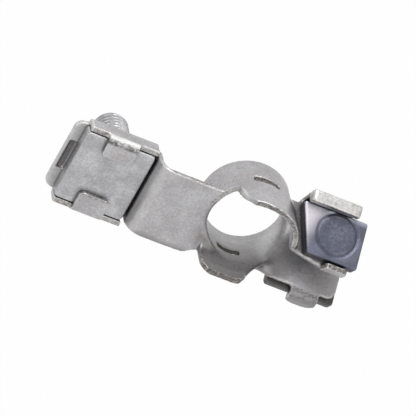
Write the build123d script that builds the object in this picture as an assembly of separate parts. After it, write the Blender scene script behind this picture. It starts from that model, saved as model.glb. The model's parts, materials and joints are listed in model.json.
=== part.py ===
"""Battery terminal clamp: one folded sheet body, a clinched stud, an inclined clamp bolt and its nut.

Millimetres. The origin is on the axis of the post ring, in the plane of the strap's underside.
+X runs along the strap to the clamp bolt and +Z points out of the underside, where the post enters.
"""
import math
import os

from build123d import *

# Sheet: thickness, and the inside radii of an open bend and of a tight fold
sheet = 1.3
bend_radius = 0.8
fold_radius = 0.3

# Post ring: heights along its axis, the step and fall of its near rim, slots, and rolled edges
post_dia = 17.7
ring_far = -10.4
ring_near = 7.9
arm_near = 2.5
step_left = -6.1
step_rise = 0.8
step_height = 4.4
step_top = 7.0
step_top_x = -3.6
step_blend = 0.8
rim_low = 3.4
rim_low_y = -6.5
rim_fall_x = 2.0
slot_arc = 36.0
slot_height = 1.9
slot_z = -2.7
slot_angles = (90.0, 268.0)
entry_radius = 1.6
entry_shift = 3.0
entry_angle = 200.0
roll_radius = 2.5
root_radius = 0.8

# Lobe: the near rim beside the lower arm, which runs out flat over the strap
lobe_left = -7.65
lobe_flat_right = 2.2
lobe_root_right = 7.0
lobe_radius = 2.5
lobe_blend = 1.8
lobe_heel = 2.2

# Strap and stud box
strap_y = -3.42
strap_width = 17.3
strap_left = -22.9
neck_taper = 6.5
box_left = -40.6
box_right = -25.0
box_drop = 7.0
wall_step = 0.2
lip_left = -43.2
lip_radius = 2.0
tab_centre = -32.8
tab_width = 7.2
tab_reach = 5.4
tab_corner = 1.2
pocket_width = 1.9
pocket_length = 7.0
pocket_depth = 0.8

# Terminal stud
stud_dia = 8.0
stud_neck_dia = 8.4
stud_x = -29.0
stud_tip = -28.2
stud_head_thickness = 3.5
stud_head_overhang = 0.4
stud_head_corner = 1.0
stud_head_edge = 0.4
stud_clearance = 0.2
stud_chamfer = 1.0

# Clamp bolt, measured along its axis from the face of its head; its axis leans over the ring's
bolt_offset = 8.05
bolt_y = 6.32
bolt_z = 2.0
bolt_tilt = 45.0
bolt_dia = 6.0
bolt_length = 22.0
bolt_chamfer = 0.7
bolt_head_thickness = 2.75
head_far = 4.95
head_near = 6.1
head_right = 6.4
head_left_far = -9.2
head_left_near = -5.75
head_corner = 0.5
head_edge = 0.3
mark_dia = 10.2
mark_width = 0.7
mark_depth = 0.25

# Ears: the upper one carries the head between two flanges, the lower one the backing plate
ear_gap = 6.3
ear_root = 3.65
gap_root = 1.35
ear_right = 5.0
ear_neck = 6.0
ear_neck_x = -7.4
near_flange_play = 0.5
near_flange_left = -0.8
near_flange_right = 4.6
far_flange_play = 0.9
far_flange_rise = 2.5
far_flange_left = -8.4
far_flange_right = 3.5
flange_corner = 0.8
lower_ear_root = 4.7
lower_ear_right = 6.9
lower_ear_near = 10.8
lower_ear_far = 5.6
lower_ear_corner = 2.0
hole_clearance = 0.3

# Backing plate, washer and nut
backing_thickness = 2.0
backing_left = -9.0
backing_right = 7.3
backing_near = 11.8
backing_far = 5.0
backing_corner = 0.8
clinch_width = 6.8
clinch_drop = 2.8
clinch_radius = 2.4
washer_dia = 12.0
washer_thickness = 1.2
nut_width = 10.0
nut_height = 5.0
nut_chamfer = 0.6
nut_bore_clearance = 0.05
running_gap = 0.3

# Levels and places that follow from the sizes above
bore = post_dia / 2
outer = bore + sheet
beyond = 4 * post_dia
strap_top = strap_y + strap_width / 2
strap_bottom = strap_y - strap_width / 2
far_plate = -box_drop
stud_face = far_plate + stud_head_thickness
bolt_x = outer + bolt_offset
ear_outer = -bolt_head_thickness
ear_inner = ear_outer - sheet
lower_inner = ear_inner - ear_gap
lower_outer = lower_inner - sheet
backing_outer = lower_outer - backing_thickness
washer_top = backing_outer - running_gap
nut_top = washer_top - washer_thickness - running_gap
tilt = math.radians(bolt_tilt)
BOLT = Plane(origin=(bolt_x, bolt_y, bolt_z), x_dir=(1, 0, 0), z_dir=(0, math.sin(tilt), math.cos(tilt)))


def block(x0, x1, y0, y1, z0, z1):
    return Pos(x0, y0, z0) * Box(x1 - x0, y1 - y0, z1 - z0, align=(Align.MIN,) * 3)


def rod(dia, z0, z1, x=0, y=0):
    return Pos(x, y, z0) * Cylinder(dia / 2, z1 - z0, align=(Align.CENTER, Align.CENTER, Align.MIN))


def prism(points, plane, amount):
    return extrude(plane * make_face(Polyline(*points, close=True)), amount=amount)


def blended(points, radii, plane, amount):
    """A prism whose outline is rounded at each corner by the radius given for it."""
    return extrude(plane * make_face(FilletPolyline(*points, radius=radii, close=True)), amount=amount)


def folded(points, radius, plane, width):
    """A strip of sheet folded along its middle line, which the points give, with that inside radius."""
    line = FilletPolyline(*points, radius=radius + sheet / 2)
    return extrude(plane * trace(line, sheet), amount=width)


def polar(radius, angle):
    return radius * math.cos(math.radians(angle)), radius * math.sin(math.radians(angle))


def ring_band():
    band = rod(2 * outer, ring_far, ring_near)
    # The near rim stands beyond the step of the upper arm and right of the lobe, and falls to the upper ear
    band -= block(-beyond, 0, -beyond, 0, 0, beyond)
    step = [(-beyond, 0), (step_left, 0), (step_left + step_rise, step_height), (step_top_x, step_top),
            (0, ring_near), (0, beyond), (-beyond, beyond)]
    band -= blended(step, (0, step_blend, step_blend, step_blend, 0, 0, 0), Plane.XZ, -beyond)
    band -= lobe_side()
    fall = [(bore, ring_near), (rim_low_y, rim_low), (rim_low_y, beyond), (bore, beyond)]
    band -= Pos(rim_fall_x, 0, 0) * prism(fall, Plane.YZ, beyond)
    neck = block(rim_fall_x - bolt_x, beyond, -beyond, -ear_neck, ear_inner, beyond)
    return band - BOLT * (neck + ear_space(lower_inner, ear_inner))


def lobe_side():
    """What lies in front of the near edge, from the lobe down to the lower arm."""
    left = lobe_flat_right - lobe_blend
    line = [(left, ring_near), (lobe_flat_right, ring_near), (lobe_root_right, arm_near),
            (beyond, arm_near), (beyond, beyond), (left, beyond)]
    return blended(line, (0, lobe_blend, lobe_blend, 0, 0, 0), Plane.XZ, beyond)


def ear_space(z0, z1):
    """What lies beside the bolt between two levels, up to where the ears leave the ring."""
    space = block(bore - gap_root - bolt_x, beyond, -beyond, beyond, z0, z1)
    return space + block(lobe_root_right - bolt_x, beyond, -beyond, 0, z0, z1)


def ring_slot(centre):
    wedge = [(0, 0), polar(beyond, centre - slot_arc / 2), polar(beyond, centre + slot_arc / 2)]
    return Pos(0, 0, slot_z - slot_height / 2) * prism(wedge, Plane.XY, slot_height)


def upper_ear():
    far = head_far + far_flange_play + sheet / 2
    near = -head_near - near_flange_play - sheet / 2
    level = ear_inner + sheet / 2
    left = bore - ear_root - bolt_x
    outline = [(left, far + sheet / 2), (ear_right, far + sheet / 2), (ear_right, near),
               (near_flange_left, near), (ear_neck_x, -ear_neck), (left, -ear_neck)]
    ear = Pos(0, 0, ear_inner) * prism(outline, Plane.XY, sheet)
    bend = fold_radius + sheet
    ear -= block(far_flange_left, ear_right, far + sheet / 2 - bend, far + sheet, ear_inner, ear_outer)
    ear -= block(near_flange_left, ear_right, near - sheet, near - sheet / 2 + bend, ear_inner, ear_outer)
    far_line = [(0, level), (far, level), (far, far_flange_rise)]
    near_line = [(0, level), (near, level), (near, 0)]
    for line, x0, x1 in ((far_line, far_flange_left, far_flange_right),
                         (near_line, near_flange_left, near_flange_right)):
        flange = Pos(x0, 0, 0) * folded(line, fold_radius, Plane.YZ, x1 - x0)
        ear += fillet(flange.edges().filter_by(Axis.Y).group_by(Axis.Z)[-1], flange_corner)
    return ear


def lower_ear():
    left = lower_ear_root - bolt_x
    ear = block(left, lower_ear_right, -lower_ear_near, lower_ear_far, lower_outer, lower_inner)
    near_right = ear.edges().filter_by(Axis.Z).group_by(Axis.X)[-1].sort_by(Axis.Y)[0]
    ear = fillet(near_right, lower_ear_corner)
    level = lower_outer + sheet / 2
    drop = -backing_near - running_gap - sheet / 2
    line = [(0, level), (drop, level), (drop, lower_outer - clinch_drop)]
    clinch = Pos(-clinch_width / 2, 0, 0) * folded(line, fold_radius, Plane.YZ, clinch_width)
    tip = clinch.edges().filter_by(Axis.Y).group_by(Axis.Z)[0]
    return ear + fillet(tip, clinch_radius)


def rounded_corner(dia, z0, z1, level, radius):
    """What rounding takes off the corner where an ear's face at that level meets a wall of the ring."""
    corner = BOLT * ear_space(z0, z1) - rod(dia, -beyond, beyond)
    edge = [
        e for e in corner.edges().filter_by(GeomType.ELLIPSE)
        if abs(BOLT.to_local_coords(e @ 0.5).Z - level) < 0.01
    ]
    return corner - fillet(edge, radius)


def arms():
    """The ring with its ears, which roll out of the bore on both sides of the split."""
    hole = rod(bolt_dia + 2 * hole_clearance, lower_outer - sheet, 0)
    both = ring_band() + BOLT * (upper_ear() + lower_ear() - hole) - rod(post_dia, -beyond, beyond)
    depth = 4 * roll_radius
    both -= rounded_corner(post_dia, lower_inner - depth, lower_inner, lower_inner, roll_radius)
    both -= rounded_corner(post_dia, ear_inner, ear_inner + depth, ear_inner, roll_radius)
    root = rounded_corner(2 * outer, ear_outer, ear_outer + depth, ear_outer, root_radius)
    return both + (root & BOLT * block(-beyond, beyond, -ear_neck, head_far, ear_outer, beyond))


def lobe():
    """The flat end of the lobe, which leaves the ring at a tangent, and its bend up from the strap."""
    outline = [(lobe_left, -sheet), (lobe_left, ring_near), (0, ring_near), (0, -sheet)]
    flange = Pos(0, -bore, 0) * blended(outline, (0, lobe_radius, 0, 0), Plane.XZ, sheet)
    heel = block(lobe_left, 0, -bore, lobe_heel - bore, 0, lobe_heel)
    bend = Pos(0, lobe_heel - bore, lobe_heel) * Rot(0, 90, 0) * Cylinder(lobe_heel, beyond)
    return flange + (heel - bend)


def strap():
    """The strap, its step down to the stud box, and the floor of the box with its lip."""
    level = -sheet / 2
    wall = strap_left + sheet / 2
    line = [(lip_left, far_plate + level), (wall, far_plate + level), (wall, level), (0, level)]
    plate = Pos(0, strap_top, 0) * folded(line, bend_radius, Plane.XZ, strap_width)
    taper = [(lobe_left - neck_taper, strap_bottom), (lobe_left, -outer), (0, -outer), (0, strap_bottom)]
    plate -= Pos(0, 0, -sheet) * prism(taper, Plane.XY, sheet)
    plate = fillet(plate.edges().filter_by(Axis.Z).group_by(Axis.X)[0], lip_radius)
    pocket_x = box_left - pocket_width
    return plate - block(pocket_x, box_left, strap_y - pocket_length / 2, strap_y + pocket_length / 2,
                         far_plate - pocket_depth, far_plate)


def stud_box():
    """The walls beside the stud's head and the tabs folded over it, each a strip folded from the floor."""
    level = far_plate - sheet / 2
    side = strap_width / 2 + stud_clearance + sheet / 2
    tab_end = side + sheet / 2 - tab_reach
    top = stud_face - wall_step
    walls = [(-side, top), (-side, level), (side, level), (side, top)]
    over = stud_face + sheet / 2
    tabs = [(-tab_end, over), (-side, over), (-side, level), (side, level), (side, over), (tab_end, over)]
    box = Pos(box_left, strap_y, 0) * folded(walls, fold_radius, Plane.YZ, box_right - box_left)
    strip = Pos(tab_centre - tab_width / 2, strap_y, 0) * folded(tabs, fold_radius, Plane.YZ, tab_width)
    ends = [e for e in strip.edges().filter_by(Axis.Z) if abs(e.center().Z - over) < sheet / 2]
    return box + fillet(ends, tab_corner)


def post_entry():
    """The bend from the strap into the ring, deepest on the strap's side and fading out round the bore."""
    reach = bore + entry_radius - entry_shift
    mouth = rod(2 * reach, -entry_radius, 0) - Pos(0, 0, -entry_radius) * Torus(reach, entry_radius)
    return Pos(*polar(entry_shift, entry_angle), 0) * mouth


def terminal_body():
    body = arms() + lobe() + strap()
    body -= rod(post_dia, -beyond, beyond)
    body -= post_entry()
    for angle in slot_angles:
        body -= ring_slot(angle)
    body += stud_box()
    return body - rod(stud_neck_dia + 2 * stud_clearance, -beyond, 0, stud_x, strap_y)


def terminal_stud():
    head = block(box_left - stud_head_overhang, box_right, strap_bottom, strap_top, far_plate, stud_face)
    head = fillet(head.edges().filter_by(Axis.Z), stud_head_corner)
    head = fillet(head.edges().group_by(Axis.Z)[0] + head.edges().group_by(Axis.Z)[-1], stud_head_edge)
    neck = rod(stud_neck_dia, far_plate - sheet, far_plate + stud_head_edge, stud_x, strap_y)
    shank = rod(stud_dia, stud_tip, far_plate, stud_x, strap_y)
    shank = chamfer(shank.edges().group_by(Axis.Z)[0], stud_chamfer)
    return head + neck + shank


def clamp_bolt():
    face = [(head_left_far, head_far), (head_right, head_far), (head_right, -head_near),
            (head_left_near, -head_near)]
    head = Pos(0, 0, ear_outer) * prism(face, Plane.XY, bolt_head_thickness)
    head = fillet(head.edges().filter_by(Axis.Z), head_corner)
    head = fillet(head.edges().group_by(Axis.Z)[-1], head_edge)
    mark = rod(mark_dia, -mark_depth, 1) - rod(mark_dia - 2 * mark_width, -mark_depth, 1)
    shank = rod(bolt_dia, ear_outer - bolt_length, ear_outer)
    shank = chamfer(shank.edges().group_by(Axis.Z)[0], bolt_chamfer)
    return BOLT * (head - mark + shank)


def backing_plate():
    plate = block(backing_left, backing_right, -backing_near, backing_far, backing_outer, lower_outer)
    plate = fillet(plate.edges().filter_by(Axis.Z), backing_corner)
    plate -= rod(bolt_dia + 2 * hole_clearance, -beyond, 0)
    return BOLT * plate - rod(2 * (outer + running_gap), -beyond, beyond)


def clamp_washer():
    washer = rod(washer_dia, washer_top - washer_thickness, washer_top)
    return BOLT * (washer - rod(bolt_dia + 2 * hole_clearance, -beyond, 0))


def clamp_nut():
    hexagon = RegularPolygon(nut_width / 2, 6, major_radius=False)
    turned = chamfer(rod(nut_width / math.cos(math.pi / 6), 0, nut_height).edges(), nut_chamfer)
    nut = Pos(0, 0, nut_top - nut_height) * (extrude(hexagon, amount=nut_height) & turned)
    return BOLT * (nut - rod(bolt_dia + 2 * nut_bore_clearance, -beyond, 0))


parts = {
    "terminal_body": terminal_body(),
    "terminal_stud": terminal_stud(),
    "clamp_bolt": clamp_bolt(),
    "backing_plate": backing_plate(),
    "clamp_washer": clamp_washer(),
    "clamp_nut": clamp_nut(),
}
os.makedirs("parts", exist_ok=True)
for node, shape in parts.items():
    export_step(shape, f"parts/{node}.step")
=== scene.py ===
"""A stamped battery terminal clamp seen from its underside, on a plain white studio floor."""
import json
import math

import bmesh
import bpy
import numpy as np
from mathutils import Matrix, Vector, noise
from mathutils.bvhtree import BVHTree

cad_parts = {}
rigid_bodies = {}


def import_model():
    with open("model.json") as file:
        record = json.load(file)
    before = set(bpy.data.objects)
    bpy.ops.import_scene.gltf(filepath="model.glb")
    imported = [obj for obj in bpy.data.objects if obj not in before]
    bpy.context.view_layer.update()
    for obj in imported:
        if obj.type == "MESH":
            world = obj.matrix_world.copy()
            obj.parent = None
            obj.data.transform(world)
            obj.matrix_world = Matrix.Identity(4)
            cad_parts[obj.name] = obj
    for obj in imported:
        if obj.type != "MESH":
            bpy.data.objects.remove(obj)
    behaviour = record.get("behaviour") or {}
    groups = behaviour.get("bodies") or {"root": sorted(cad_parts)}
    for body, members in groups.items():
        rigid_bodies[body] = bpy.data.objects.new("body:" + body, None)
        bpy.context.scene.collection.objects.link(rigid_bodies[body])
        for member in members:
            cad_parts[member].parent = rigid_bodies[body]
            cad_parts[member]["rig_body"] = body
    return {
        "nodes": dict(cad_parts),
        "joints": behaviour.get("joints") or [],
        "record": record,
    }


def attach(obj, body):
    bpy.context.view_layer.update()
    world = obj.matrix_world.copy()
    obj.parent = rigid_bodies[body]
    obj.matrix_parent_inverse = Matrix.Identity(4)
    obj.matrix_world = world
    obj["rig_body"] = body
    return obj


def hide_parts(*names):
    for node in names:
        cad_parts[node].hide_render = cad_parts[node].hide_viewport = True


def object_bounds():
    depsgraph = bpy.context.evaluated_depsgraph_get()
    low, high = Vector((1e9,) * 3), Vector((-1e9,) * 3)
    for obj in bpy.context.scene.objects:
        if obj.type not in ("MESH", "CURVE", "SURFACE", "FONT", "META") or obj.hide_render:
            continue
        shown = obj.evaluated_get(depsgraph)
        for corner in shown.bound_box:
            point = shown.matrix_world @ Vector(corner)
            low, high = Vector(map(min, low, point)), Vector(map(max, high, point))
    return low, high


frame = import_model()
cad_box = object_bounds()

MM = 0.001


def at(x, y, z):
    """A point, a way or half sizes, given in millimetres."""
    return Vector((x, y, z)) * MM


def span(node, axis):
    """The lowest and highest level of a CAD node along an axis."""
    levels = [v.co.dot(axis) for v in frame["nodes"][node].data.vertices]
    return min(levels), max(levels)


# Camera, at the photograph's viewing angle
CAMERA_AZIMUTH = 217.3
CAMERA_ELEVATION = 58.8
CAMERA_ROLL = 168.1
CAMERA_TARGET = at(-9.0, -1.12, -2.76)
FIELD_WIDTH = 89.93 * MM
LENS = 800.0
SENSOR = 36.0
CLIP_START = 0.1
CLIP_END = 20.0

# Studio, and its lamps as the way to each in the camera's right, up and back, distance, size and power
WHITE = (1, 1, 1, 1)
SKY_STRENGTH = 0.4
FLOOR_COLOUR = (0.9, 0.9, 0.9, 1)
FLOOR_ROUGHNESS = 0.9
FLOOR_WHITE = 0.985
FLOOR_REACH = 3.0
KEY_LAMP = ((0.3, 0.8, 0.6), 0.40, 0.25, 1.0)
FILL_LAMP = ((0.7, -0.2, 0.6), 0.45, 0.30, 0.2)

# Axes: the clamp bolt's from its joint, the stud's and the ring's from their mounts
joints = {j["name"]: j for j in frame["joints"]}
mounts = {m["name"]: m for m in frame["record"]["mounts"]}
WORLD_AXES = (Vector((1, 0, 0)), Vector((0, 1, 0)), Vector((0, 0, 1)))
BOLT_OUT = -Vector(joints["nut_turn"]["axis"]).normalized()
BOLT_SIDE = Vector((1, 0, 0))
BOLT_UP = BOLT_OUT.cross(BOLT_SIDE)
BOLT_AXES = (BOLT_SIDE, BOLT_UP, BOLT_OUT)
NUT_POINT = Vector(joints["nut_turn"]["pos_m"])
HEAD_LEVEL = span("clamp_bolt", BOLT_OUT)[1]
HEAD_FACE = NUT_POINT + BOLT_OUT * (HEAD_LEVEL - NUT_POINT.dot(BOLT_OUT))
STUD_AXIS = Vector(mounts["cable_stud"]["axis"])
STUD_POINT = Vector(mounts["cable_stud"]["pos_m"])
STUD_RADIUS = mounts["cable_stud"]["dims"]["r_mm"] * MM
STUD_LENGTH = mounts["cable_stud"]["dims"]["length_mm"] * MM
BORE_RADIUS = mounts["post_clamp"]["dims"]["r_mm"] * MM

# Sheet, bolt head and threads
SHEET = 1.3 * MM
STUD_PITCH = 1.25 * MM
STUD_CHAMFER = 1.0 * MM
BOLT_RADIUS = 3.0 * MM
BOLT_PITCH = 1.0 * MM
BOLT_CHAMFER = 0.7 * MM
BOLT_PLAIN = 8.5 * MM
HEAD_THICKNESS = 2.75 * MM
ROOTED = 0.3 * MM
THREAD_DEPTH = 0.6134
THREAD_STEPS = 64
THREAD_ROWS = 10

# Faces of the eased pieces, and how rough a sheared edge or a torn fold is
SHEET_VOXEL = 0.25 * MM
SOLID_VOXEL = 0.2 * MM
EASE_PASSES = 3
SHEAR_DEPTH = 1.5 * SHEET
SHEAR_ROUGH = 0.05 * MM
SHEAR_GRAIN = 0.7 * MM
TEAR_DEPTH = 0.12 * MM
TEAR_GRAIN = 0.35 * MM
TEAR_FADE = 0.35 * MM

# Where the drawn metal flows: spots, the bend from the ring into the lower arm and the root of the lobe
FLOW_SPOTS = (at(7.0, -6.8, 1.4), at(9.3, -0.4, 3.4), at(-4.8, 8.6, 4.6))
FLOW_REACH = 3.0 * MM
FLOW_PASSES = 14
BEND_FAR = at(10.0, -1.0, -6.0)
BEND_NEAR = at(5.5, -8.1, 2.2)
BEND_REACH = 4.2 * MM
BEND_PASSES = 260
ROOT_FAR = at(-7.4, -5.7, 1.5)
ROOT_NEAR = at(-2.4, -8.5, 2.1)
ROOT_REACH = 2.4 * MM
ROOT_PASSES = 40

# Small fits of the sheet and of the stud's head
LOBE_SHORTER = at(-0.9, 0, 0)
LOBE_FURTHER = at(0, -0.5, 0.5)
STEP_LEAN = 1.1 * MM
BOX_REACH = 0.6 * MM
HEAD_REACH = 0.4 * MM
NECK_FROM = 3.0 * MM
NECK_SHARE = 0.55
FLANGE_IN = 1.15 * MM
FLANGE_OUT = 0.25 * MM

# Places of the sheet with a finish, or a painted light or shade, of their own, as centres with half sizes or
# reaches
STRAP_Y = -3.42
TAB_X = -32.8
INNER_FOLD = at(TAB_X, 5.5, -2.2)
INNER_FOLD_HALVES = at(3.6, 0.45, 0.45)
OUTER_FOLD = at(TAB_X, 6.35, -2.9)
OUTER_FOLD_HALVES = at(3.6, 0.45, 0.55)
TAB_END = at(TAB_X, -8.2, -2.85)
TAB_END_HALVES = at(3.6, 0.45, 0.65)
POCKET = at(-41.45, STRAP_Y, -7.8)
POCKET_HALVES = at(1.2, 3.5, 0.9)
STEP = at(-22.8, STRAP_Y, -2.0)
STEP_HALVES = at(1.4, 9.0, 1.5)
CLINCH = HEAD_FACE + BOLT_UP * -12.0 * MM + BOLT_OUT * -10.5 * MM
CLINCH_HALVES = at(3.2, 1.0, 1.0)
FLANGE = HEAD_FACE + BOLT_SIDE * -2.45 * MM + BOLT_UP * 6.2 * MM + BOLT_OUT * 1.5 * MM
FLANGE_HALVES = at(6.0, 1.3, 1.2)
LOBE_HEEL = at(-5.8, -9.0, -0.2)
RIM_RISE = at(-5.4, 7.8, 3.0)
LOWER_BEND = at(9.6, -2.6, -3.6)
LOWER_REACH = 7.0 * MM
EAR_CORNER = at(8.5, -8.2, 2.0)
EAR_REACH = 5.5 * MM
SLOT_ANGLES = (90.0, 268.0)
SLOT_ARC = 36.0
SLOT_LEVEL = -2.7 * MM
SLOT_HEIGHT = 1.9 * MM
SLOT_LIP = 0.15 * MM

# Colours of the finishes, as a display shows them, and how much grime the plated steel has
TIN_DARK = (172, 170, 172)
TIN_LIGHT = (190, 189, 191)
TIN_GRAIN = (152, 149, 150)
TIN_STAIN = (176, 162, 158)
TIN_GLINT = (206, 205, 207)
TIN_FLECK = (142, 124, 118)
TIN_STREAK = (206, 206, 206)
TIN_PAINTED_SHADE = (108, 106, 105)
TIN_RUBBED_SHEEN = (236, 235, 232)
TIN_PAINTED_LIGHT = (240, 240, 238)
TIN_CREVICE_SHADE = (48, 46, 45)
SHEARED = (192, 190, 186)
SHEAR_SPECK = (112, 103, 97)
TORN_AND_SLOT_SHADE = (82, 78, 76)
STUD_COLOURS = ((170, 170, 172), (198, 198, 200), (152, 151, 153))
THREAD_COLOURS = ((192, 192, 194), (212, 212, 214), (170, 170, 172))
# The backing plate's colours are the plating's, darkened as painted shade
PLATE_SHADED_COLOURS = ((74, 73, 72), (90, 89, 88), (64, 63, 62))
STUD_GRIME = 0.25
THREAD_GRIME = 0.1
PLATE_GRIME = 0.7
STEEL_GRIME = (108, 106, 106)
STEEL_SHADE = (84, 82, 84)
STEEL_RUBBED_SHEEN = (226, 226, 226)
STEEL_CREVICE_SHADE = (46, 45, 46)
DARK_LOW = (92, 94, 107)
DARK_HIGH = (114, 116, 131)
DARK_GRAIN = (80, 82, 94)
DARK_CREVICE_SHADE = (30, 30, 34)
HEAD_MOTTLE = (78, 81, 94)
HEAD_SHEEN = (214, 209, 216)
HEAD_EDGE_HIGHLIGHT = (138, 139, 152)
HEAD_TOP_LIGHT = (168, 170, 184)
HEAD_GROOVE_SHADE = (66, 68, 80)
HEAD_SIDES_SHADE = (58, 57, 60)
HEAD_CREVICE_SHADE = (24, 24, 28)


def linear(red, green, blue):
    """An 8-bit display colour as the linear colour that the shader takes."""
    def one(v):
        v /= 255
        return v / 12.92 if v <= 0.04045 else ((v + 0.055) / 1.055) ** 2.4
    return (one(red), one(green), one(blue), 1.0)


class Shader:
    """A material's node tree, with short calls for the nodes that these finishes use."""

    def __init__(self, name):
        self.material = bpy.data.materials.new(name)
        self.material.use_nodes = True
        self.tree = self.material.node_tree
        self.surface = self.tree.nodes["Principled BSDF"]
        self.place = self.node("ShaderNodeTexCoord").outputs["Object"]

    def node(self, kind, **settings):
        made = self.tree.nodes.new(kind)
        for key, value in settings.items():
            setattr(made, key, value)
        return made

    def feed(self, socket, value):
        if isinstance(value, bpy.types.NodeSocket):
            self.tree.links.new(value, socket)
        else:
            socket.default_value = value

    def maths(self, operation, *values):
        made = self.node("ShaderNodeMath", operation=operation)
        for socket, value in zip(made.inputs, values):
            self.feed(socket, value)
        return made.outputs[0]

    def times(self, first, second):
        return self.maths("MULTIPLY", first, second)

    def vector(self, operation, *values):
        made = self.node("ShaderNodeVectorMath", operation=operation)
        for socket, value in zip(made.inputs, values):
            self.feed(socket, value)
        return made.outputs["Value" if operation in ("LENGTH", "DOT_PRODUCT") else "Vector"]

    def mark(self, name):
        return self.node("ShaderNodeAttribute", attribute_name=name).outputs["Fac"]

    def noise(self, size, detail=3.0, rough=0.55, place=None, warp=0.0):
        made = self.node("ShaderNodeTexNoise")
        self.feed(made.inputs["Vector"], place or self.place)
        made.inputs["Scale"].default_value = 1 / size
        made.inputs["Detail"].default_value = detail
        made.inputs["Roughness"].default_value = rough
        made.inputs["Distortion"].default_value = warp
        return made.outputs["Fac"]

    def ramp(self, value, low, high, out_low=0.0, out_high=1.0):
        made = self.node("ShaderNodeMapRange", interpolation_type="SMOOTHSTEP")
        for socket, number in zip(made.inputs, (value, low, high, out_low, out_high)):
            self.feed(socket, number)
        return made.outputs[0]

    def mix(self, amount, first, second):
        made = self.node("ShaderNodeMix", data_type="RGBA")
        self.feed(made.inputs["Factor"], amount)
        for socket, value in zip([s for s in made.inputs if s.type == "RGBA"], (first, second)):
            self.feed(socket, linear(*value) if isinstance(value, tuple) else value)
        return next(s for s in made.outputs if s.type == "RGBA")

    def occlusion_shade(self, distance):
        """How open a point is to the air around it; the finishes darken closed-in places with it, as painted
        shade.
        """
        made = self.node("ShaderNodeAmbientOcclusion", samples=8)
        made.inputs["Distance"].default_value = distance
        return made.outputs["AO"]

    def bump(self, height, strength, distance):
        made = self.node("ShaderNodeBump")
        self.feed(made.inputs["Height"], height)
        made.inputs["Strength"].default_value = strength
        made.inputs["Distance"].default_value = distance
        self.feed(self.surface.inputs["Normal"], made.outputs["Normal"])

    def finish(self, colour, metallic, roughness):
        self.feed(self.surface.inputs["Base Color"], colour)
        self.feed(self.surface.inputs["Metallic"], metallic)
        self.feed(self.surface.inputs["Roughness"], roughness)
        return self.material


def plated_sheet():
    """Tumbled tin plate: grey clouds, faint warm stains, rubbed bends with a painted highlight, speckled
    sheared edges, and painted light and shade.
    """
    s = Shader("plated_sheet")
    grain = s.noise(0.5 * MM, 4.0, 0.65)
    colour = s.mix(s.ramp(s.noise(6 * MM, 4.0), 0.35, 0.66), TIN_DARK, TIN_LIGHT)
    colour = s.mix(s.ramp(grain, 0.44, 0.64, 0.0, 0.4), colour, TIN_GRAIN)
    stain = s.noise(2.6 * MM, 5.0, 0.7, warp=0.4)
    colour = s.mix(s.ramp(stain, 0.52, 0.70, 0.0, 0.45), colour, TIN_STAIN)
    colour = s.mix(s.ramp(s.noise(0.7 * MM, 2.0, 0.5), 0.52, 0.68, 0.0, 0.35), colour, TIN_GLINT)
    colour = s.mix(s.ramp(s.noise(0.8 * MM, 4.0, 0.7), 0.61, 0.68, 0.0, 0.5), colour, TIN_FLECK)

    # Drawn streaks inside the ring, and painted shade where the sheet lies in shade
    painted_shade = s.mark("painted_shade")
    radius = s.vector("LENGTH", s.vector("MULTIPLY", s.place, (1, 1, 0)))
    inside = s.ramp(radius, BORE_RADIUS + 0.3 * MM, BORE_RADIUS + 0.6 * MM, 1.0, 0.0)
    inside = s.times(inside, s.ramp(painted_shade, 0, 1, 1.0, 0.2))
    streaks = s.noise(0.3 * MM, 3.0, 0.6, s.vector("MULTIPLY", s.place, (0.06, 0.06, 1)))
    colour = s.mix(s.times(inside, s.ramp(streaks, 0.42, 0.62, 0.0, 0.45)), colour, TIN_STREAK)
    colour = s.mix(s.times(painted_shade, s.ramp(grain, 0.3, 0.7, 1.0, 0.7)), colour, TIN_PAINTED_SHADE)

    # Sheared edges with specks of grime, bends rubbed bright with a painted highlight on them, and places
    # painted lighter as painted light
    cut = s.mark("cut")
    colour = s.mix(s.times(cut, 0.35), colour, SHEARED)
    patch = s.ramp(s.noise(4.5 * MM, 2.0), 0.38, 0.60)
    speck = s.times(s.ramp(s.noise(0.6 * MM, 4.0, 0.75), 0.44, 0.56), s.ramp(patch, 0, 1, 0.35, 0.75))
    colour = s.mix(s.times(cut, speck), colour, SHEAR_SPECK)
    # Rubbed edges with a painted highlight on them
    sheen = s.times(s.ramp(s.mark("bulge"), 0.06, 0.22), s.ramp(grain, 0.30, 0.55, 0.3, 0.9))
    colour = s.mix(s.times(sheen, s.ramp(speck, 0, 0.6, 1.0, 0.3)), colour, TIN_RUBBED_SHEEN)
    # Painted light: places painted lighter than the plating
    painted_light = s.mark("painted_light")
    ribs = s.noise(0.3 * MM, 3.0, 0.6, s.vector("MULTIPLY", s.place, (0.08, 1, 1)))
    colour = s.mix(s.times(painted_light, s.ramp(ribs, 0.42, 0.6, 1.0, 0.6)), colour, TIN_PAINTED_LIGHT)

    # Torn metal, and painted shade on the walls of the ring's slots
    colour = s.mix(s.mark("tear"), colour, TORN_AND_SLOT_SHADE)
    # Painted shade in crevices, darker where the sheet is closed in
    colour = s.mix(s.ramp(s.occlusion_shade(0.9 * MM), 0.1, 0.6, 0.8, 0.0), colour, TIN_CREVICE_SHADE)
    s.bump(s.maths("ADD", grain, s.times(inside, s.times(streaks, 1.2))), 0.35, 0.05 * MM)
    metallic = s.ramp(s.maths("MAXIMUM", painted_light, s.mark("matt")), 0, 1, 0.92, 0.25)
    return s.finish(colour, metallic, s.ramp(grain, 0.3, 0.7, 0.34, 0.50))


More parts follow.
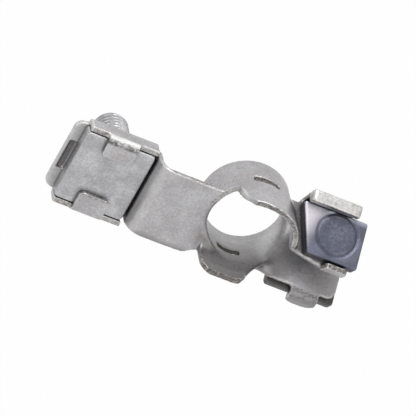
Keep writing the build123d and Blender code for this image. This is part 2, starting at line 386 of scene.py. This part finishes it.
def plated_steel(name, colours, grime):
    """Cooler, finer plating on the stud and, darkened as painted shade, on the backing plate."""
    dark, light, grey = colours
    s = Shader(name)
    grain = s.noise(0.4 * MM, 4.0, 0.65)
    colour = s.mix(s.ramp(s.noise(4 * MM, 4.0), 0.35, 0.68), dark, light)
    colour = s.mix(s.ramp(grain, 0.44, 0.62, 0.0, 0.5), colour, grey)
    colour = s.mix(s.ramp(s.noise(0.7 * MM, 2.0, 0.5), 0.52, 0.68, 0.0, 0.45), colour, light)
    colour = s.mix(s.ramp(s.noise(0.9 * MM, 3.0, 0.7), 0.62, 0.69, 0.0, grime), colour, STEEL_GRIME)
    # Painted shade where the steel is closed in and in its crevices, and a painted highlight on its rubbed
    # edges
    colour = s.mix(s.ramp(s.occlusion_shade(1.5 * MM), 0.35, 0.95, 0.4, 0.0), colour, STEEL_SHADE)
    sheen = s.times(s.ramp(s.mark("bulge"), 0.06, 0.22), s.ramp(grain, 0.30, 0.55, 0.3, 0.8))
    colour = s.mix(s.times(sheen, 1 - grime), colour, STEEL_RUBBED_SHEEN)
    colour = s.mix(s.ramp(s.occlusion_shade(0.9 * MM), 0.1, 0.6, 0.8, 0.0), colour, STEEL_CREVICE_SHADE)
    s.bump(grain, 0.35, 0.05 * MM)
    return s.finish(colour, 0.92, s.ramp(grain, 0.3, 0.7, 0.36, 0.52))


def dark_steel(name):
    """The blue-grey base of the fasteners' finishes."""
    s = Shader(name)
    grain = s.noise(0.3 * MM, 3.0, 0.6)
    colour = s.mix(s.ramp(s.noise(3 * MM, 4.0), 0.35, 0.68), DARK_LOW, DARK_HIGH)
    colour = s.mix(s.ramp(grain, 0.42, 0.62, 0.0, 0.45), colour, DARK_GRAIN)
    return s, grain, colour


def fastener_steel():
    s, grain, colour = dark_steel("fastener_steel")
    # Painted shade in crevices
    colour = s.mix(s.ramp(s.occlusion_shade(0.8 * MM), 0.1, 0.6, 0.8, 0.0), colour, DARK_CREVICE_SHADE)
    s.bump(grain, 0.25, 0.04 * MM)
    return s.finish(colour, 0.9, s.ramp(grain, 0.3, 0.7, 0.34, 0.48))


def head_steel():
    """The bolt's head: a mottled disc inside its press mark, a painted sheen beside the ring, and painted
    highlights and shade on its edges, groove and sides.
    """
    s, grain, colour = dark_steel("head_steel")
    off = s.vector("SUBTRACT", s.place, HEAD_FACE)
    side, up, out = (s.vector("DOT_PRODUCT", off, axis) for axis in BOLT_AXES)
    radius = s.maths("SQRT", s.maths("ADD", s.times(side, side), s.times(up, up)))
    disc = s.ramp(radius, 4.7 * MM, 5.1 * MM, 1.0, 0.0)
    groove_shade = s.times(disc, s.ramp(radius, 4.2 * MM, 4.7 * MM))
    mottle = s.ramp(s.noise(0.7 * MM, 5.0, 0.7), 0.38, 0.64)
    colour = s.mix(s.times(disc, s.ramp(mottle, 0, 1, 0.1, 0.8)), colour, HEAD_MOTTLE)
    # Painted sheen, as a reflection, on the head beside the ring
    lean = s.maths("ADD", side, s.times(up, -0.45))
    sheen = s.times(s.ramp(lean, -3.0 * MM, -8.5 * MM), s.ramp(grain, 0.3, 0.6, 0.75, 1.0))
    sheen = s.times(sheen, s.maths("SUBTRACT", 1.0, s.times(disc, 0.8)))
    colour = s.mix(s.times(sheen, 0.9), colour, HEAD_SHEEN)
    # Painted highlight on the head's edges
    colour = s.mix(s.ramp(s.mark("bulge"), 0.08, 0.25, 0.0, 0.35), colour, HEAD_EDGE_HIGHLIGHT)
    # Painted light along the head's far edge, beside the flange
    colour = s.mix(s.ramp(up, 3.4 * MM, 4.8 * MM, 0.0, 0.7), colour, HEAD_TOP_LIGHT)
    # Painted shade in the press mark's groove
    colour = s.mix(s.times(groove_shade, 0.5), colour, HEAD_GROOVE_SHADE)
    # Painted shade on the head's sides
    colour = s.mix(s.times(s.ramp(out, -0.5 * MM, -0.2 * MM, 1.0, 0.0), 0.9), colour, HEAD_SIDES_SHADE)
    # Painted shade in crevices
    colour = s.mix(s.ramp(s.occlusion_shade(0.3 * MM), 0.1, 0.5, 0.85, 0.0), colour, HEAD_CREVICE_SHADE)
    s.bump(s.maths("ADD", grain, s.times(disc, mottle)), 0.3, 0.05 * MM)
    return s.finish(colour, 0.9, s.ramp(grain, 0.3, 0.7, 0.38, 0.52))


def new_piece(name, mesh):
    piece = bpy.data.objects.new(name, mesh)
    bpy.context.scene.collection.objects.link(piece)
    return piece


def eased(name, mesh, voxel):
    """A piece of that shape in small even faces, its edges rounded as stamping and tumbling leave them."""
    piece = new_piece(name, mesh)
    even = piece.modifiers.new("even", "REMESH")
    even.mode, even.voxel_size = "VOXEL", voxel
    ease = piece.modifiers.new("ease", "SMOOTH")
    ease.factor, ease.iterations = 0.5, EASE_PASSES
    done = bpy.data.meshes.new_from_object(piece.evaluated_get(bpy.context.evaluated_depsgraph_get()))
    piece.modifiers.clear()
    piece.data = done
    done.name = name
    done.shade_smooth()
    return piece


class Points:
    """The points of a piece as arrays, for marks that its material reads and for small moves."""

    def __init__(self, piece):
        self.mesh = piece.data
        self.place = self.read(self.mesh.vertices, "co", 3, float)
        self.normal = self.read(self.mesh.vertices, "normal", 3, float)
        self.start, self.end = self.read(self.mesh.edges, "vertices", 2, int).T
        self.ways = np.bincount(np.concatenate((self.start, self.end)), minlength=len(self.place))

    @staticmethod
    def read(items, field, width, kind):
        values = np.empty(len(items) * width, kind)
        items.foreach_get(field, values)
        return values.reshape(-1, width)

    def gather(self, at_start, at_end):
        """The mean at each point of what its edges bring."""
        count = len(self.place)
        return (np.bincount(self.start, at_start, count) + np.bincount(self.end, at_end, count)) / self.ways

    def spread(self, values, passes):
        for _ in range(passes):
            values = (values + self.gather(values[self.end], values[self.start])) / 2
        return values

    def bulge(self):
        """How sharply the surface turns away round each point."""
        step = self.place[self.end] - self.place[self.start]
        step /= np.linalg.norm(step, axis=1)[:, None]
        return self.spread(self.gather(-(step * self.normal[self.start]).sum(1),
                                       (step * self.normal[self.end]).sum(1)), 2)

    def cut(self):
        """Where the sheet was sheared: the metal behind such a face is deeper than the sheet is thick."""
        tree = BVHTree.FromPolygons(self.place.tolist(), [p.vertices[:] for p in self.mesh.polygons])
        deep = np.zeros(len(self.place))
        for i, (place, normal) in enumerate(zip(self.place, self.normal)):
            inward = Vector(-normal)
            hit = tree.ray_cast(Vector(place) + inward * 0.1 * SHEET, inward, SHEAR_DEPTH)
            deep[i] = hit[0] is None
        return self.spread(deep, 1)

    def grain(self, size, chosen):
        """Noise between -1 and 1 at the chosen points, and none elsewhere."""
        values = np.zeros(len(self.place))
        for i in np.flatnonzero(chosen):
            values[i] = noise.fractal(Vector(self.place[i]) / size, 0.8, 2.0, 3)
        return values

    def off_bore(self):
        """How far each point lies from the ring's bore."""
        return np.hypot(*self.place.T[:2]) - BORE_RADIUS

    def at_head(self):
        """The points along the bolt head's length, across it and out from its face, in millimetres."""
        off = (self.place - np.array(HEAD_FACE)) / MM
        return [off @ np.array(axis) for axis in BOLT_AXES]

    def zone(self, centre, axes, halves):
        """1 inside a box, fading out round it."""
        within = np.ones(len(self.place))
        for axis, half in zip(axes, halves):
            off = np.abs((self.place - np.array(centre)) @ np.array(axis)) - half
            within *= np.clip(1 - off / TEAR_FADE, 0, 1)
        return within

    def near(self, centre, reach):
        """1 at a point, fading out over that reach round it."""
        return np.clip(1.5 - 1.5 * np.linalg.norm(self.place - np.array(centre), axis=1) / reach, 0, 1)

    def along(self, start, end, reach):
        """1 on a line between two points, fading out over that reach round it."""
        way = np.array(end - start)
        share = np.clip((self.place - np.array(start)) @ way / (way @ way), 0, 1)
        off = np.linalg.norm(self.place - np.array(start) - share[:, None] * way, axis=1)
        return np.clip(1.5 - 1.5 * off / reach, 0, 1)

    def flow(self, weight, passes):
        """Lets a stretch of the surface flow into what is round it, as drawn metal does."""
        for _ in range(passes):
            mean = [self.gather(axis[self.end], axis[self.start]) for axis in self.place.T]
            self.place += weight[:, None] * (np.stack(mean, 1) - self.place) / 2
        self.settle()

    def push(self, amount):
        """Moves each point out along its normal."""
        self.place += self.normal * amount[:, None]
        self.settle()

    def move(self, amount, way):
        """Moves each point by its share of one way."""
        self.place += amount[:, None] * np.array(way)
        self.settle()

    def settle(self):
        """Hands the moved points back to the mesh, none of them outside the CAD box."""
        self.place = np.clip(self.place, np.array(cad_box[0]), np.array(cad_box[1]))
        self.mesh.vertices.foreach_set("co", self.place.ravel())
        self.mesh.update()
        self.normal = self.read(self.mesh.vertices, "normal", 3, float)

    def mark(self, name, values):
        self.mesh.attributes.new(name, "FLOAT", "POINT").data.foreach_set("value", np.clip(values, 0, 1))


def rise(values, low, high):
    """0 up to the low end, 1 from the high end on."""
    return np.interp(values, (low, high), (0, 1))


def fall(values, low, high):
    """1 up to the low end, 0 from the high end on."""
    return np.interp(values, (low, high), (1, 0))


def band(values, low, first, last, high):
    """1 between the first and the last level, 0 beyond the low and the high one."""
    return np.interp(values, (low, first, last, high), (0, 1, 1, 0))


def clipped(node, point, normal):
    """A copy of a CAD node's mesh without what lies beyond a plane, closed again."""
    shape = bmesh.new()
    shape.from_mesh(frame["nodes"][node].data)
    bmesh.ops.remove_doubles(shape, verts=shape.verts, dist=0.001 * MM)
    everything = shape.verts[:] + shape.edges[:] + shape.faces[:]
    bmesh.ops.bisect_plane(shape, geom=everything, plane_co=point, plane_no=normal, clear_outer=True)
    bmesh.ops.holes_fill(shape, edges=[e for e in shape.edges if e.is_boundary])
    mesh = bpy.data.meshes.new(node + "_clipped")
    shape.to_mesh(mesh)
    shape.free()
    return mesh


def threaded(name, start, axis, length, radius, pitch, plain, chamfer):
    """A closed rod with a rolled right-hand thread after a plain stretch, and a chamfered end."""
    rows = round(length / pitch * THREAD_ROWS)
    turn = axis.to_track_quat("Z", "Y")
    verts = []
    for row in range(rows + 1):
        z = length * row / rows
        depth = THREAD_DEPTH * pitch * min(1, max(0, (z - plain) / pitch))
        limit = radius - chamfer + length - z
        for step in range(THREAD_STEPS):
            off = abs((z / pitch - step / THREAD_STEPS) % 1 - 0.5) * 2
            crest = min(1, max(0, (0.75 - off) / 0.625))
            r = min(radius - depth * (1 - crest), limit)
            angle = 2 * math.pi * step / THREAD_STEPS
            verts.append(start + turn @ Vector((r * math.cos(angle), r * math.sin(angle), z)))
    last = rows * THREAD_STEPS
    faces = [tuple(reversed(range(THREAD_STEPS))), tuple(range(last, last + THREAD_STEPS))]
    for row in range(rows):
        for step in range(THREAD_STEPS):
            a, b = row * THREAD_STEPS + step, row * THREAD_STEPS + (step + 1) % THREAD_STEPS
            faces.append((a, b, b + THREAD_STEPS, a + THREAD_STEPS))
    mesh = bpy.data.meshes.new(name)
    mesh.from_pydata(verts, [], faces)
    return new_piece(name, mesh)


def seat(piece, node, material):
    """The piece stands for a CAD node, rides with its body and takes a finish."""
    piece.data.materials.clear()
    piece.data.materials.append(material)
    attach(piece, frame["nodes"][node]["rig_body"])
    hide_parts(node)


def fit_lobe(points):
    """The lobe ends earlier toward the lower arm, in a longer slope, and reaches a little further out."""
    x, y, z = points.place.T / MM
    lobe = fall(y, -8.5, -7.0)
    arm = lobe * band(x, 0, 3.5, 7.5, 10.5) * rise(z, -2.5, 0.5)
    edge = lobe * band(x, -7.5, -5, 4, 7) * rise(z, 1.5, 4.5)
    points.move(arm, LOBE_SHORTER)
    points.move(edge, LOBE_FURTHER)


def close_box(points):
    """The step's wall leans to the stud's head and the box's walls reach along it, to close the gap."""
    x, y, z = points.place.T / MM
    beyond = rise(np.abs(y - STRAP_Y), 8.7, 8.85)
    lean = band(x, -26, -23, -21, -17) * np.interp(z, (-3.5, 0), (1, -0.3)) * (1 - beyond)
    reach = rise(x, -30, -25) * beyond * (x < -24.5)
    points.move(BOX_REACH * reach - STEP_LEAN * lean, WORLD_AXES[0])


def square_corner(points):
    """The strap keeps its full width nearly to the lobe before it narrows."""
    x, y, z = points.place.T / MM
    edge = np.interp(x, (-14.15, -7.65), (-12.07, -10.15))
    wanted = np.interp(x, (-14.15, -10.4, -8.0, -7.65), (-12.07, -12.0, -10.4, -10.15))
    share = np.clip((y + 5) / (edge + 5), 0, 1.1) * (np.abs(z + 0.65) < 1.2) * (x < -7.65)
    points.move((wanted - edge) * share * MM, WORLD_AXES[1])


def narrow_neck(points):
    """The far edge of the upper ear is drawn in between the ring and the far flange."""
    side, up, out = points.at_head()
    there = fall(side, -9.4, -8.0) * (side > -14) * band(out, -4.9, -4.4, -1.8, -1.2)
    there *= rise(points.off_bore() - SHEET, 0, 0.8 * MM)
    points.move(-NECK_SHARE * there * np.clip(up * MM - NECK_FROM, 0, None), BOLT_UP)


def thicken_flange(points):
    """The far flange stands close to the head and is thick at its top, where shearing spread it."""
    side, up, out = points.at_head()
    there = rise(out, 0.1, 0.5) * band(side, -9.5, -8.6, 3.7, 4.2)
    across = np.interp(up, (5.4, 5.6, 5.9, 7.1, 7.5), (0, -FLANGE_IN, -FLANGE_IN, FLANGE_OUT, FLANGE_OUT))
    points.move(there * across, BOLT_UP)


def torn(points, cut):
    """Torn metal on the folds of the tabs, on the clinch and along the top of the ring's rim."""
    tabs = np.maximum(points.zone(INNER_FOLD, WORLD_AXES, INNER_FOLD_HALVES),
                      0.6 * points.zone(TAB_END, WORLD_AXES, TAB_END_HALVES))
    clinch = points.zone(CLINCH, BOLT_AXES, CLINCH_HALVES)
    rim = cut * rise(points.place[:, 2], 6.2 * MM, 6.8 * MM)
    rough = points.grain(TEAR_GRAIN, np.maximum.reduce((tabs, clinch, rim)) > 0)
    return np.maximum.reduce((tabs * np.clip(0.55 + 1.2 * rough, 0, 0.9),
                              clinch * np.clip(2.0 * rough - 0.3, 0, 0.7),
                              rim * np.clip(0.55 + 1.6 * rough, 0, 0.85)))


def slot_shade(points):
    """1 on the walls of the ring's slots, as painted shade in them, and less on the upper one's."""
    x, y, z = points.place.T
    depth = points.off_bore()
    inside = (depth > SLOT_LIP) & (depth < SHEET - SLOT_LIP)
    inside &= np.abs(z - SLOT_LEVEL) < SLOT_HEIGHT / 2 + SLOT_LIP
    angle = np.degrees(np.arctan2(y, x))
    off = np.min([np.abs((angle - centre + 180) % 360 - 180) for centre in SLOT_ANGLES], axis=0)
    return (inside & (off < SLOT_ARC / 2 + 1)) * np.where(y > 0, 0.45, 1.0)


def shade_inside_ring(points):
    """Painted shade in the lower side of the ring and on the lobe, deeper toward the rim."""
    x, y, z = points.place.T / MM
    return band(x, -9, -7, 7, 10) * fall(y, -7, -4) * np.interp(z, (-7, 1), (0.25, 1))


def shade_by_ears(points):
    """Painted shade beside the bolt's head, on the clinch and at the far end of the lower ear."""
    side, up, out = points.at_head()
    beside = band(side, -14, -13, -5, -4) * band(out, -4.6, -4, -1.5, -1) * rise(up, -7, -5)
    beside *= rise(points.off_bore() - SHEET, 0.1 * MM, 0.5 * MM)
    clinch = fall(up, -11.5, -10.5) * fall(out, -9.5, -8.5)
    end = rise(side, -2, 4) * fall(out, -7.5, -6.5)
    corner = points.near(EAR_CORNER, EAR_REACH)
    return np.maximum.reduce((0.95 * beside, 0.75 * clinch, 0.65 * end, 0.8 * corner))


def painted_light_zones(points):
    """Painted light, places painted lighter than the plating: the upper tab's fold, the far flange, the step,
    the lip, the lower bend and the rim where it climbs from the strap to the ring's full height."""
    fold = points.zone(OUTER_FOLD, WORLD_AXES, OUTER_FOLD_HALVES)
    flange = points.zone(FLANGE, BOLT_AXES, FLANGE_HALVES)
    step = points.zone(STEP, WORLD_AXES, STEP_HALVES)
    lip = fall(points.place[:, 0], -40.4 * MM, -40.1 * MM)
    lip *= 1 - points.zone(POCKET, WORLD_AXES, POCKET_HALVES)
    bend = points.near(LOWER_BEND, LOWER_REACH)
    rim = points.near(RIM_RISE, FLOW_REACH) * rise(-points.normal[:, 0], 0.62, 0.8)
    return np.maximum.reduce((fold, 0.45 * flange, 0.2 * step, 0.5 * lip, 0.45 * bend, 0.9 * rim))


def terminal_body(material):
    body = eased("clamp_sheet", frame["nodes"]["terminal_body"].data.copy(), SHEET_VOXEL)
    points = Points(body)
    flowing = np.max([points.near(spot, FLOW_REACH) for spot in FLOW_SPOTS], axis=0)
    points.flow(flowing, FLOW_PASSES)
    points.flow(points.along(BEND_FAR, BEND_NEAR, BEND_REACH), BEND_PASSES)
    points.flow(points.along(ROOT_FAR, ROOT_NEAR, ROOT_REACH), ROOT_PASSES)
    for fit in (fit_lobe, close_box, square_corner, narrow_neck, thicken_flange):
        fit(points)

    cut = points.cut() * (1 - flowing) * (1 - points.near(LOBE_HEEL, FLOW_REACH))
    tear = torn(points, cut)
    shaded_slots = slot_shade(points)
    pocket = points.zone(POCKET, WORLD_AXES, POCKET_HALVES)
    points.mark("bulge", points.bulge() * (1 - pocket) * (1 - np.clip(8 * points.spread(shaded_slots, 6), 0, 0.9)))
    points.mark("cut", cut)
    # The tear mark carries torn metal and the painted shade in the slots
    points.mark("tear", np.maximum(tear, shaded_slots))
    # Painted shade: the lower side of the ring and the lobe, beside the ears, and in the pocket
    points.mark("painted_shade", np.maximum.reduce((shade_inside_ring(points), shade_by_ears(points), 0.7 * pocket)))
    # Painted light: places painted lighter than the plating
    points.mark("painted_light", painted_light_zones(points))
    points.mark("matt", 0.4 * points.near(LOWER_BEND, LOWER_REACH))
    points.push(SHEAR_ROUGH * cut * points.grain(SHEAR_GRAIN, cut > 0) - TEAR_DEPTH * tear)
    seat(body, "terminal_body", material)


def terminal_stud(steel, thread_steel):
    neck = STUD_POINT - STUD_AXIS * STUD_LENGTH / 2
    head = eased("stud_head", clipped("terminal_stud", neck, STUD_AXIS), SOLID_VOXEL)
    points = Points(head)
    points.move(HEAD_REACH * rise(points.place[:, 0], -29 * MM, -25.4 * MM), WORLD_AXES[0])
    points.mark("bulge", points.bulge())
    root = neck - STUD_AXIS * ROOTED
    length = span("terminal_stud", STUD_AXIS)[1] - root.dot(STUD_AXIS)
    thread = threaded("stud_thread", root, STUD_AXIS, length,
                      STUD_RADIUS, STUD_PITCH, STUD_PITCH, STUD_CHAMFER)
    seat(head, "terminal_stud", steel)
    seat(thread, "terminal_stud", thread_steel)


def clamp_bolt(head_material, steel):
    under = NUT_POINT + BOLT_OUT * (HEAD_LEVEL - HEAD_THICKNESS - NUT_POINT.dot(BOLT_OUT))
    head = eased("bolt_head", clipped("clamp_bolt", under, -BOLT_OUT), SOLID_VOXEL)
    points = Points(head)
    points.mark("bulge", points.bulge())
    seat(head, "clamp_bolt", head_material)
    root = under + BOLT_OUT * ROOTED
    length = root.dot(BOLT_OUT) - span("clamp_bolt", BOLT_OUT)[0]
    thread = threaded("bolt_thread", root, -BOLT_OUT, length,
                      BOLT_RADIUS, BOLT_PITCH, BOLT_PLAIN, BOLT_CHAMFER)
    seat(thread, "clamp_bolt", steel)


def small_parts(shaded_plate_steel, steel):
    for node, slot, material in (("backing_plate", "plated_steel", shaded_plate_steel),
                                 ("clamp_washer", "dark_steel", steel), ("clamp_nut", "dark_steel", steel)):
        piece = eased(node + "_eased", frame["nodes"][node].data.copy(), SOLID_VOXEL)
        points = Points(piece)
        points.mark("bulge", points.bulge())
        seat(piece, node, material)


def camera():
    azimuth, elevation = math.radians(CAMERA_AZIMUTH), math.radians(CAMERA_ELEVATION)
    flat = math.cos(elevation)
    back = Vector((math.sin(azimuth) * flat, -math.cos(azimuth) * flat, math.sin(elevation)))
    data = bpy.data.cameras.new("camera")
    data.lens, data.sensor_width = LENS, SENSOR
    data.clip_start, data.clip_end = CLIP_START, CLIP_END
    eye = bpy.data.objects.new("camera", data)
    right = Vector((0, 0, 1)).cross(back).normalized()
    turn = Matrix((right, back.cross(right), back)).transposed().to_4x4()
    turn @= Matrix.Rotation(math.radians(CAMERA_ROLL), 4, "Z")
    eye.matrix_world = Matrix.Translation(CAMERA_TARGET + back * FIELD_WIDTH * LENS / SENSOR) @ turn
    bpy.context.scene.collection.objects.link(eye)
    bpy.context.scene.camera = eye
    return eye


def lamp(name, eye, direction, distance, size, power):
    data = bpy.data.lights.new(name, "AREA")
    data.shape, data.size, data.energy = "DISK", size, power
    light = bpy.data.objects.new(name, data)
    way = (eye.matrix_world.to_3x3() @ Vector(direction)).normalized()
    turn = way.to_track_quat("Z", "Y").to_matrix().to_4x4()
    light.matrix_world = Matrix.Translation(CAMERA_TARGET + way * distance) @ turn
    bpy.context.scene.collection.objects.link(light)


def white_to_view(tree, white, other, share):
    """Mixes a shader of the stage with white as the camera, reflections and clear parts see it."""
    path = tree.nodes.new("ShaderNodeLightPath")
    seen = path.outputs["Is Camera Ray"]
    for ray in ("Is Glossy Ray", "Is Transmission Ray"):
        either = tree.nodes.new("ShaderNodeMath")
        either.operation = "MAXIMUM"
        tree.links.new(seen, either.inputs[0])
        tree.links.new(path.outputs[ray], either.inputs[1])
        seen = either.outputs[0]
    part = tree.nodes.new("ShaderNodeMath")
    part.operation = "MULTIPLY"
    part.inputs[1].default_value = share
    tree.links.new(seen, part.inputs[0])
    mixed = tree.nodes.new("ShaderNodeMixShader")
    tree.links.new(part.outputs[0], mixed.inputs["Fac"])
    tree.links.new(other, mixed.inputs[1])
    tree.links.new(white, mixed.inputs[2])
    return mixed.outputs[0]


def sky():
    world = bpy.data.worlds.new("studio")
    world.use_nodes = True
    tree = world.node_tree
    soft = tree.nodes["Background"]
    soft.inputs["Color"].default_value = WHITE
    soft.inputs["Strength"].default_value = SKY_STRENGTH
    white = tree.nodes.new("ShaderNodeBackground")
    white.inputs["Color"].default_value = WHITE
    seen = white_to_view(tree, white.outputs[0], soft.outputs[0], 1.0)
    tree.links.new(seen, tree.nodes["World Output"].inputs["Surface"])
    bpy.context.scene.world = world


def floor():
    paint = bpy.data.materials.new("floor_white")
    paint.use_nodes = True
    tree = paint.node_tree
    surface = tree.nodes["Principled BSDF"]
    surface.inputs["Base Color"].default_value = FLOOR_COLOUR
    surface.inputs["Roughness"].default_value = FLOOR_ROUGHNESS
    glow = tree.nodes.new("ShaderNodeEmission")
    seen = white_to_view(tree, glow.outputs[0], surface.outputs[0], FLOOR_WHITE)
    tree.links.new(seen, tree.nodes["Material Output"].inputs["Surface"])
    mesh = bpy.data.meshes.new("floor")
    signs = ((-1, -1), (1, -1), (1, 1), (-1, 1))
    corners = [(FLOOR_REACH * x, FLOOR_REACH * y, cad_box[0].z) for x, y in signs]
    mesh.from_pydata(corners, [], [(0, 1, 2, 3)])
    mesh.materials.append(paint)
    new_piece("floor", mesh)


terminal_body(plated_sheet())
fasteners = fastener_steel()
terminal_stud(plated_steel("stud_steel", STUD_COLOURS, STUD_GRIME),
              plated_steel("thread_steel", THREAD_COLOURS, THREAD_GRIME))
clamp_bolt(head_steel(), fasteners)
# The backing plate takes a darkened copy of the plating, as painted shade
small_parts(plated_steel("shaded_plate_steel", PLATE_SHADED_COLOURS, PLATE_GRIME), fasteners)
eye = camera()
sky()
floor()
lamp("key", eye, *KEY_LAMP)
lamp("fill", eye, *FILL_LAMP)
bpy.context.scene.view_settings.view_transform = "Standard"
